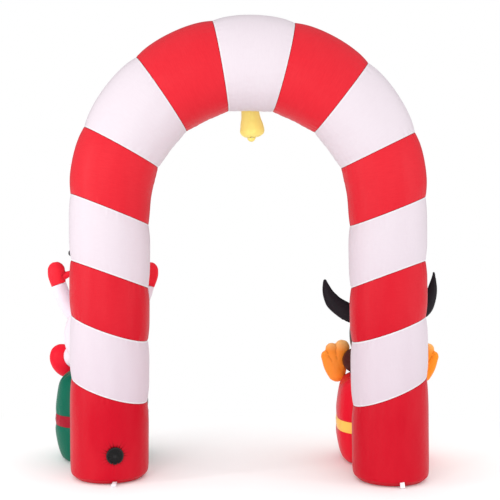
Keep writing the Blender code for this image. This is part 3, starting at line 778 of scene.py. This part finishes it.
def dress_box_part(node):
    piece = clean_copy(node)
    low, high = (corner.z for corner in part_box(node))
    seams = [low] if "upper" in node else [high] if "lower" in node else [low, high]
    subdivide(piece, 2, fits=2)
    level = points_of(piece)[:, 2]
    nearest = np.min([np.abs(level - seam) for seam in seams], axis=0)
    held = (nearest < BOX_HELD) | (level < BOX_HELD)
    blow_up(piece, held, BOX_CAP, ease(nearest / BOX_BULGE_START) * ease(level / BOX_BULGE_START))
    subdivide(piece, 1)
    points = points_of(piece)
    normals = normals_of(piece)
    middle = (points.min(axis=0) + points.max(axis=0)) / 2
    turn = np.arctan2(points[:, 1] - middle[1], points[:, 0] - middle[0])
    nearest = np.full(len(points), FAR_FROM_SEAMS)
    lift = np.zeros(len(points))
    for seam in seams:
        distance = np.abs(points[:, 2] - seam)
        lift += gathers(round(seam * 1000), turn, distance)
        nearest = np.minimum(nearest, distance)
    if "upper" in node:
        fade = np.exp((points[:, 2] - high) / PLEAT_FADE)
        lift += PLEAT_DEPTH * wave_sum(LONG_WAVES, len(node), turn) * fade
    wall = 1.0 - np.abs(normals[:, 2]) ** 2
    points += normals * (lift * wall)[:, None]
    points[:, 2] = np.maximum(points[:, 2], 0.0)
    put_points(piece, points)
    write_map(piece, "sewn", turn * BOX_GIRTH_RADIUS, nearest, math.tau * BOX_GIRTH_RADIUS)
    smooth_shade(piece)
    finish_cloth(piece, node)


for colour in ("green", "red"):
    for part in ("lower", "ribbon", "upper"):
        dress_box_part(f"gift_{colour}_{part}")

# %% [markdown]
# ## The figures and the bell
# Their solids are balls and limbs of a few faces. A rounded copy is remeshed to even small
# quads, shrunk by a hair, and blown up again by the simulation, which evens out what is left of
# the facets. Sewn gores then draw shallow lines down the larger forms.

# %% Figures
FIGURE_CAP = 0.003
START_SMALLER = 0.0010
FIGURE_FRAMES = 6
SIMULATED_SIZE = 0.12        # smaller parts are stiff and aren't blown up
FACES_ACROSS = 60.0          # the longest side of a part
SMALLEST_FACE, LARGEST_FACE = 0.0020, 0.0070
GORES = {
    "snowman_body": 6, "snowman_head": 4, "snowman_hat_crown": 4, "penguin_body": 6, "penguin_head": 4,
    "bell": 4,
}
GORE_DEPTH = 0.0030
GORE_WIDTH = 0.007
GORE_FOLD_WAVES = (60.0, 95.0, 140.0)
GORE_FOLD_DEPTH = 0.0008
CREASE_GAIN, CREASE_START, CREASE_MOST = 11.0, 0.15, 0.35    # how a bend turns into painted crease shade


def remesh_evenly(piece, size):
    pick(piece)
    step = piece.modifiers.new("even", "REMESH")
    step.mode = "VOXEL"
    step.voxel_size = size
    step.use_smooth_shade = True
    bpy.ops.object.modifier_apply(modifier=step.name)


def draw_gores(piece, count, seed):
    """Sewn lines from the top of a form to its foot, with short folds beside them."""
    points = points_of(piece)
    normals = normals_of(piece)
    middle = (points.min(axis=0) + points.max(axis=0)) / 2
    spoke = points - middle
    turn = np.arctan2(spoke[:, 1], spoke[:, 0]) + math.pi / 2
    reach = np.hypot(spoke[:, 0], spoke[:, 1])
    pitch = math.tau / count
    off = (turn + pitch / 2) % pitch - pitch / 2
    distance = np.abs(off) * reach
    draw = np.random.default_rng(seed)
    folds = np.zeros(len(points))
    for waves in GORE_FOLD_WAVES:
        folds += np.sin(waves * points[:, 2] + draw.uniform(0.0, math.tau))
    beside = gather_strength(distance) * np.clip(reach / 0.05, 0.0, 1.0)
    groove = GORE_DEPTH * np.exp(-(distance / GORE_WIDTH) ** 2)
    lift = -groove + GORE_FOLD_DEPTH * folds * beside
    put_points(piece, points + normals * lift[:, None])
    write_map(piece, "sewn", points[:, 2], distance)


def find_crease_shade(piece, size):
    """Painted shade: 0 on the full parts of a form and more in its creases, from each point's neighbours.
    """
    points = points_of(piece)
    ends = np.zeros(len(piece.data.edges) * 2, np.int32)
    piece.data.edges.foreach_get("vertices", ends)
    first, second = ends.reshape(-1, 2).T
    count = np.bincount(ends, minlength=len(points))[:, None]
    around = np.zeros_like(points)
    np.add.at(around, first, points[second])
    np.add.at(around, second, points[first])
    bend = ((around / count - points) * normals_of(piece)).sum(axis=1) / size
    for _ in range(2):
        spread = np.zeros(len(points))
        np.add.at(spread, first, bend[second])
        np.add.at(spread, second, bend[first])
        bend = 0.5 * bend + 0.5 * spread / count[:, 0]
    return np.clip(bend * CREASE_GAIN - CREASE_START, 0.0, CREASE_MOST)


def dress_figure_part(node):
    piece = clean_copy(node)
    low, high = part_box(node)
    largest = max(high - low)
    size = min(max(largest / FACES_ACROSS, SMALLEST_FACE), LARGEST_FACE)
    subdivide(piece, 2, fits=3)
    remesh_evenly(piece, size)
    put_points(piece, points_of(piece) - normals_of(piece) * START_SMALLER)
    apply_smooth(piece, 0.5, 3)
    if largest > SIMULATED_SIZE:
        none_held = np.zeros(len(piece.data.vertices), bool)
        blow_up(piece, none_held, FIGURE_CAP, shrink=0.0, frames=FIGURE_FRAMES)
    # Painted shade in the creases of the form.
    paint(piece, "painted_crease_shade", find_crease_shade(piece, size))
    if "foot" in node:
        rise = (points_of(piece)[:, 2] - low.z) / (high.z - low.z)
        paint(piece, "painted_top_light", ease(rise * 3.0 - 2.0) * 0.9)      # painted top light: the upper third, towards the toes, is painted paler
    if node in GORES:
        draw_gores(piece, GORES[node], len(node))
    smooth_shade(piece)
    finish_cloth(piece, node)


for node in sorted(NODES):
    if node.startswith(("snowman", "penguin", "bell")):
        dress_figure_part(node)
print("cloth pieces:", len(ALL_CLOTH))

# %% [markdown]
# ## The blower's intake
# The fan breathes through a round moulded grille in the back of the left leg: a collar with
# a rounded rim, rings and spokes over a dark well, and a hub with a screw. It is modelled
# around the Z axis and then turned to face out of the leg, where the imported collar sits.

# %% Plastic
def plastic_material(name, colour, roughness):
    material, tree, shader = new_material(name)
    shader.inputs["Base Color"].default_value = linear(colour)
    shader.inputs["Roughness"].default_value = roughness
    place = node_of(tree, "TexCoord")
    grain = node_of(tree, "TexNoise", inputs={"Scale": 1800.0, "Detail": 2.0})
    join(tree, place, "Object", grain, "Vector")
    bump = node_of(tree, "Bump", inputs={"Strength": 0.25, "Distance": 0.0002})
    join(tree, grain, "Fac", bump, "Height")
    join(tree, bump, "Normal", shader, "Normal")
    return material


BLACK_PLASTIC = plastic_material("black_plastic", (12, 12, 14), 0.48)
print("plastic made:", BLACK_PLASTIC.name)

# %% [markdown]
# ## Moulding the intake
# The collar is a short cylinder whose face is inset and sunk, with its edges rounded and its two
# clip gaps cut out. The grille joins its rings, spokes, hub and screw to one piece.

# %% Intake parts
COLLAR_LENGTH = 0.016
COLLAR_EDGE = 0.0018
RING_THICKNESS = 0.0009
RING_LEVEL = -0.0022
SPOKE_SIZE = (0.0014, 0.0030)        # its width and its height
SPOKE_LEVEL = -0.0052
HUB_LENGTH = 0.006
HUB_EDGE = 0.0010
CLIP_SIZE = (0.0055, 0.020)          # of one gap in the rim
CLIP_LEVEL = -0.0175
CLIP_INSIDE, CLIP_OUTSIDE = 0.0065, 0.004    # how far it reaches to each side of the collar's radius
OVERLAP = 0.001                      # by which a spoke goes into the hub and the rim


def add_ring(major, minor, height):
    bpy.ops.mesh.primitive_torus_add(major_radius=major, minor_radius=minor, major_segments=96,
                                     minor_segments=10, location=(0.0, 0.0, height))
    return bpy.context.object


def add_bar(angle, inside, outside, width, height, low):
    bpy.ops.mesh.primitive_cube_add(size=1.0)
    bar = bpy.context.object
    bar.data.transform(Matrix.Diagonal((outside - inside, width, height, 1.0)))
    bar.data.transform(Matrix.Translation(((inside + outside) / 2, 0.0, low + height / 2)))
    bar.data.transform(Matrix.Rotation(angle, 4, "Z"))
    return bar


def join_pieces(pieces, name):
    pick(*pieces)
    bpy.ops.object.join()
    joined = bpy.context.object
    joined.name = name
    return joined


def hand_over_plastic(piece, node):
    bpy.context.view_layer.update()
    piece.data.transform(INTAKE_PLACE @ piece.matrix_world)
    piece.matrix_world = Matrix.Identity(4)
    piece.data.materials.clear()
    piece.data.materials.append(BLACK_PLASTIC)
    smooth_shade(piece, 40.0)
    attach(piece, "root")
    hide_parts(node)


# The collar: a tube with a rounded rim and two clip gaps at its lowest part.
bpy.ops.mesh.primitive_cylinder_add(vertices=96, radius=INTAKE_RADIUS, depth=COLLAR_LENGTH,
                                    location=(0.0, 0.0, -COLLAR_LENGTH / 2))
collar = bpy.context.object
select_faces(collar, [face.normal.z > 0.9 for face in collar.data.polygons])
bpy.ops.mesh.inset(thickness=INTAKE_RIM)
bpy.ops.mesh.extrude_region_move(TRANSFORM_OT_translate={"value": (0.0, 0.0, -WELL_DEPTH)})
bpy.ops.object.mode_set(mode="OBJECT")
apply_bevel(collar, COLLAR_EDGE, 4, by_angle=True)
for degrees in CLIP_ANGLES:
    gap = add_bar(math.radians(degrees - 90.0), INTAKE_RADIUS - CLIP_INSIDE, INTAKE_RADIUS + CLIP_OUTSIDE,
                  *CLIP_SIZE, CLIP_LEVEL)
    pick(collar)
    cut = collar.modifiers.new("gap", "BOOLEAN")
    cut.operation = "DIFFERENCE"
    cut.object = gap
    bpy.ops.object.modifier_apply(modifier="gap")
    bpy.data.objects.remove(gap, do_unlink=True)
collar.name = "intake_collar_moulded"
hand_over_plastic(collar, "intake_collar")

# The grille: rings and spokes a little below the rim, and the hub with its screw.
bars = [add_ring(radius, RING_THICKNESS, RING_LEVEL) for radius in RING_RADII]
for index in range(SPOKES):
    angle = math.tau * index / SPOKES
    bars.append(add_bar(angle, HUB_RADIUS - OVERLAP, INTAKE_RADIUS - INTAKE_RIM + OVERLAP,
                        *SPOKE_SIZE, SPOKE_LEVEL))
bpy.ops.mesh.primitive_cylinder_add(vertices=48, radius=HUB_RADIUS, depth=HUB_LENGTH,
                                    location=(0.0, 0.0, -0.0035))
hub = bpy.context.object
apply_bevel(hub, HUB_EDGE, 3)
bpy.ops.mesh.primitive_cylinder_add(vertices=24, radius=0.0030, depth=0.002, location=(0.0, 0.0, -0.0002))
screw = bpy.context.object
slot_bar = add_bar(0.6, -0.0026, 0.0026, 0.0007, 0.0008, 0.0006)
grille = join_pieces(bars + [hub, screw, slot_bar], "intake_grille_moulded")
hand_over_plastic(grille, "intake_grille")
print("intake faces:", len(collar.data.polygons) + len(grille.data.polygons))

# %% [markdown]
# ## The tether loops
# Each loop is a short strip of woven polyester webbing, folded over and sewn into a seam or
# the foot's hem. Its solid has the right size, so the copy only gets softer edges and the
# ribs of the weave, which run along the strip.

# %% Webbing
RIB = 0.0019
WEB_EDGE = 0.0004
WEB_BEND = math.radians(30.0)
WEB_SKEW = math.radians(60.0)


def webbing_material(name, across):
    """across is the axis letter along the strip's width."""
    material, tree, shader = new_material(name)
    shader.inputs["Roughness"].default_value = 0.75
    shader.inputs["Specular IOR Level"].default_value = 0.2
    place = node_of(tree, "TexCoord")
    ribs = node_of(tree, "TexWave", {"bands_direction": across},
                   {"Scale": math.tau / 20.0 / RIB, "Distortion": 0.6})
    join(tree, place, "Object", ribs, "Vector")
    dirt = node_of(tree, "TexNoise", inputs={"Scale": 160.0, "Detail": 3.0})
    join(tree, place, "Object", dirt, "Vector")
    tint = blend_colours(tree, dirt.outputs["Fac"], linear((240, 228, 236)), linear((250, 246, 250)))
    tree.links.new(tint, shader.inputs["Base Color"])
    bump = node_of(tree, "Bump", inputs={"Strength": 0.8, "Distance": 0.0005})
    join(tree, ribs, "Fac", bump, "Height")
    join(tree, bump, "Normal", shader, "Normal")
    return material


def dress_loop(node, across):
    piece = bpy.data.objects.new(node + "_webbing", NODES[node].data.copy())
    bpy.context.collection.objects.link(piece)
    pick(piece)
    bpy.ops.object.mode_set(mode="EDIT")
    bpy.ops.mesh.select_all(action="SELECT")
    bpy.ops.mesh.remove_doubles(threshold=SAME_POINT)
    bpy.ops.mesh.tris_convert_to_quads(face_threshold=WEB_BEND, shape_threshold=WEB_SKEW)
    bpy.ops.object.mode_set(mode="OBJECT")
    apply_bevel(piece, WEB_EDGE, 2, by_angle=True)
    piece.data.materials.clear()
    piece.data.materials.append(webbing_material("webbing_" + across.lower(), across))
    smooth_shade(piece, 40.0)
    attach(piece, "root")
    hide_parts(node)


dress_loop("loop_left_side", "Z")
dress_loop("loop_left_foot", "X")
dress_loop("loop_right_foot", "X")

# %% [markdown]
# ## Floor and light
# A plain pale floor in a white studio. Three tall strip lamps give the soft upright sheen on
# the tube, and a wide one behind the camera lights all that the camera sees, the figures behind
# the legs too. Away from the arch the floor fades into the white backdrop, as a studio's
# curved sweep of paper does.

# %% Floor, world and lamps
STUDIO_LIGHT = 1.15          # what the white room gives from every side
BACKDROP = 1.0               # what the camera sees of it
GLOSS_SHARE = 0.20           # of the room's light in reflections, where the lamps have to stand out
FADE_START, FADE_END = 0.40, 1.50    # from the arch's middle to where the floor turns into paper
FADE_NARROW = (0.45, 1.0, 1.0)       # the fade is an oval, wider along the arch

bpy.ops.object.select_all(action="DESELECT")
bpy.ops.mesh.primitive_plane_add(size=30.0, location=(0.0, 0.0, -0.0005))
floor = bpy.context.object
floor.name = "floor"
floor_material, tree, floor_shader = new_material("pale_floor")
floor_shader.inputs["Base Color"].default_value = (0.96, 0.96, 0.96, 1.0)
floor_shader.inputs["Roughness"].default_value = 0.9
spot = node_of(tree, "TexCoord")
narrowed = node_of(tree, "Mapping", inputs={"Scale": FADE_NARROW})
join(tree, spot, "Object", narrowed, "Vector")
away = node_of(tree, "VectorMath", {"operation": "LENGTH"})
join(tree, narrowed, "Vector", away, "Vector")
fade = node_of(tree, "MapRange", {"interpolation_type": "SMOOTHSTEP"},
               {"From Min": FADE_START, "From Max": FADE_END})
join(tree, away, "Value", fade, "Value")
paper = node_of(tree, "Emission")
sweep = node_of(tree, "MixShader")
join(tree, fade, "Result", sweep, "Fac")
tree.links.new(floor_shader.outputs["BSDF"], sweep.inputs[1])
tree.links.new(paper.outputs["Emission"], sweep.inputs[2])
join(tree, sweep, "Shader", tree.nodes["Material Output"], "Surface")
floor.data.materials.append(floor_material)

world = bpy.data.worlds.new("studio")
world.use_nodes = True
air = world.node_tree.nodes["Background"]
air.inputs["Color"].default_value = (1.0, 1.0, 1.0, 1.0)
tree = world.node_tree
seen = node_of(tree, "LightPath")
strength = node_of(tree, "MapRange", inputs={"To Min": STUDIO_LIGHT, "To Max": BACKDROP})
join(tree, seen, "Is Camera Ray", strength, "Value")
dimmed = node_of(tree, "MapRange", inputs={"To Min": 1.0, "To Max": GLOSS_SHARE})
join(tree, seen, "Is Glossy Ray", dimmed, "Value")
product = node_of(tree, "Math", {"operation": "MULTIPLY"})
join(tree, strength, "Result", product, 0)
join(tree, dimmed, "Result", product, 1)
join(tree, product, "Value", air, "Strength")
bpy.context.scene.world = world
bpy.context.scene.view_settings.view_transform = "Standard"


def lamp(name, place, target, width, height, watts, glossy=True):
    data = bpy.data.lights.new(name, "AREA")
    data.shape = "RECTANGLE"
    data.size = width
    data.size_y = height
    data.energy = watts
    made = bpy.data.objects.new(name, data)
    bpy.context.collection.objects.link(made)
    made.location = place
    made.rotation_euler = (Vector(target) - Vector(place)).to_track_quat("-Z", "Y").to_euler()
    made.visible_glossy = glossy


lamp("left_strip", (-3.9, -1.9, 1.3), (-0.4, -0.2, 1.2), 0.3, 3.2, 42.0)
lamp("right_strip", (4.1, -1.6, 1.3), (0.4, -0.2, 1.2), 0.3, 3.2, 24.0)
lamp("middle_strip", (-1.9, -4.3, 1.3), (0.8, -0.2, 1.2), 0.3, 3.2, 30.0)
lamp("front", (0.26, -6.2, 1.5), (0.06, -0.2, 1.1), 1.4, 1.4, 66.0, glossy=False)
